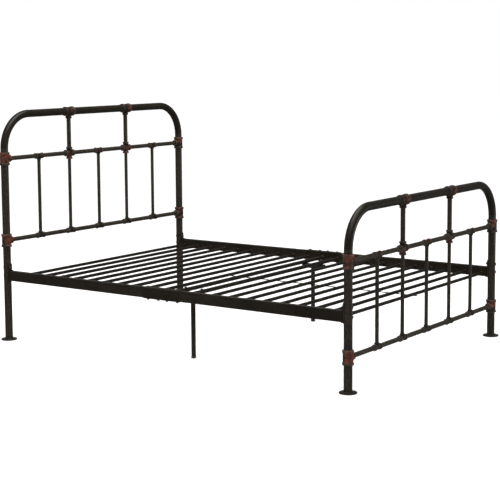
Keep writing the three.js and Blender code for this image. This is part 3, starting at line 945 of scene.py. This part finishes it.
jointBolts = {"places": (-0.085, -0.025, 0.025, 0.085)}
for hand in ("left", "right"):
    low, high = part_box("rail_sleeve_" + hand)
    model = smoothPiece(makeBolt("jointBoltModel", high.z - low.z))
    for number, y in enumerate(jointBolts["places"], 1):
        setBolt(model, f"jointBolt{hand.capitalize()}{number}", ((low.x + high.x) / 2, y, high.z))
    bpy.data.objects.remove(model)

postBolts = {"heights": (0.326, 0.366)}
postBolt = smoothPiece(makeBolt("postBoltModel", arch["tube"] + saddle["outer"]))
for board, at in boards.items():
    for hand, side in (("Left", -1), ("Right", 1)):
        for number, height in enumerate(postBolts["heights"], 1):
            place = (side * at["postX"], at["y"] + at["out"] * arch["tube"], height)
            setBolt(postBolt, f"{board}PostBolt{hand}{number}", place, "y" if at["out"] > 0 else "-y")
bpy.data.objects.remove(postBolt)

hangerBolts = {"sheet": 0.0033}  # the channel's sheet and its gap under the bar
low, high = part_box("cross_bar_1")
hangerBolt = smoothPiece(makeBolt("hangerBoltModel", high.z - low.z + hangerBolts["sheet"]))
for hand in ("left", "right"):
    x = middleOf("centre_leg_" + hand).x
    for number in (1, 2):
        barMiddle = middleOf(f"cross_bar_{number}")
        setBolt(hangerBolt, f"hangerBolt{hand.capitalize()}{number}", (x, barMiddle.y, high.z))
bpy.data.objects.remove(hangerBolt)
print("bolts driven")

# studio

floorLook = {"size": 60.0, "drop": 0.0004, "color": (0.86, 0.86, 0.86, 1), "roughness": 0.9, "specular": 0.1}
deselectAll()
bpy.ops.mesh.primitive_plane_add(size=floorLook["size"], location=(0, 0, -floorLook["drop"]))
floor = nameActive("studioFloor")
floorPaint = bpy.data.materials.new("studioFloorPaint")
floorPaint.use_nodes = True
floorShader = floorPaint.node_tree.nodes["Principled BSDF"]
floorShader.inputs["Base Color"].default_value = floorLook["color"]
floorShader.inputs["Roughness"].default_value = floorLook["roughness"]
floorShader.inputs["Specular IOR Level"].default_value = floorLook["specular"]
floor.data.materials.append(floorPaint)
floor.visible_glossy = False  # the undersides of the tubes stay dark

cameraLook = {"place": (-5.5184, -3.85353, 1.42186), "azimuth": -55.09565, "pitch": 6.58077, "roll": -0.35193,
              "lens": 98.03074, "shift": -0.08, "sensor": 36.0, "reach": 200.0}


def makeCamera():
    bpy.ops.object.camera_add(location=cameraLook["place"])
    camera = bpy.context.active_object
    azimuth, pitch = math.radians(cameraLook["azimuth"]), math.radians(cameraLook["pitch"])
    level = math.cos(pitch)
    back = Vector((math.sin(azimuth) * level, -math.cos(azimuth) * level, math.sin(pitch)))
    right = (-back).cross(Vector((0, 0, 1))).normalized()
    up = right.cross(-back)
    axes = Matrix((right, up, back)).transposed().to_4x4()
    camera.matrix_world = Matrix.Translation(cameraLook["place"]) @ axes @ Matrix.Rotation(
        math.radians(cameraLook["roll"]), 4, "Z")
    camera.data.lens = cameraLook["lens"]
    camera.data.sensor_width = cameraLook["sensor"]
    camera.data.shift_y = cameraLook["shift"]
    camera.data.clip_end = cameraLook["reach"]
    bpy.context.scene.camera = camera


makeCamera()

lights = {
    "leftStrip": {"place": (-3.6, 3.4, 2.0), "size": (0.4, 2.8), "power": 12},
    "lowReflector": {"place": (2.0, -4.0, 0.55), "size": (0.4, 0.9), "power": 42},
    "topSoftbox": {"place": (-0.4, 0.0, 3.6), "size": (1.6, 3.0), "power": 120},
}
lightAim = Vector((0, 0, 0.45))
for name, light in lights.items():
    bpy.ops.object.light_add(type="AREA", location=light["place"])
    lamp = bpy.context.active_object
    lamp.name = name
    lamp.data.shape = "RECTANGLE"
    lamp.data.size, lamp.data.size_y = light["size"]
    lamp.data.energy = light["power"]
    aim = lightAim - Vector(light["place"])
    lamp.rotation_euler = aim.to_track_quat("-Z", "Y").to_euler()

ceilingLight = {"strength": 3.4, "spread": 70, "tilt": (12, -14, 0), "height": 6}  # broad and even
bpy.ops.object.light_add(type="SUN", location=(0, 0, ceilingLight["height"]))
ceiling = bpy.context.active_object
ceiling.name = "ceilingLight"
ceiling.data.energy = ceilingLight["strength"]
ceiling.data.angle = math.radians(ceilingLight["spread"])
ceiling.rotation_euler = [math.radians(angle) for angle in ceilingLight["tilt"]]

studioAir = {"around": 0.22, "backdrop": 1.0}
world = bpy.data.worlds.new("studioWorld")
bpy.context.scene.world = world
world.use_nodes = True
air = world.node_tree
air.nodes["Background"].inputs["Color"].default_value = (1, 1, 1, 1)
air.nodes["Background"].inputs["Strength"].default_value = studioAir["around"]
backdrop = addNode(air, "ShaderNodeBackground")  # what the lens sees past the floor
backdrop.inputs["Color"].default_value = (1, 1, 1, 1)
backdrop.inputs["Strength"].default_value = studioAir["backdrop"]
choose = addNode(air, "ShaderNodeMixShader")
air.links.new(addNode(air, "ShaderNodeLightPath").outputs["Is Camera Ray"], choose.inputs["Fac"])
air.links.new(air.nodes["Background"].outputs[0], choose.inputs[1])
air.links.new(backdrop.outputs[0], choose.inputs[2])
air.links.new(choose.outputs[0], air.nodes["World Output"].inputs["Surface"])
bpy.context.scene.view_settings.view_transform = "Standard"
print("studio lit")
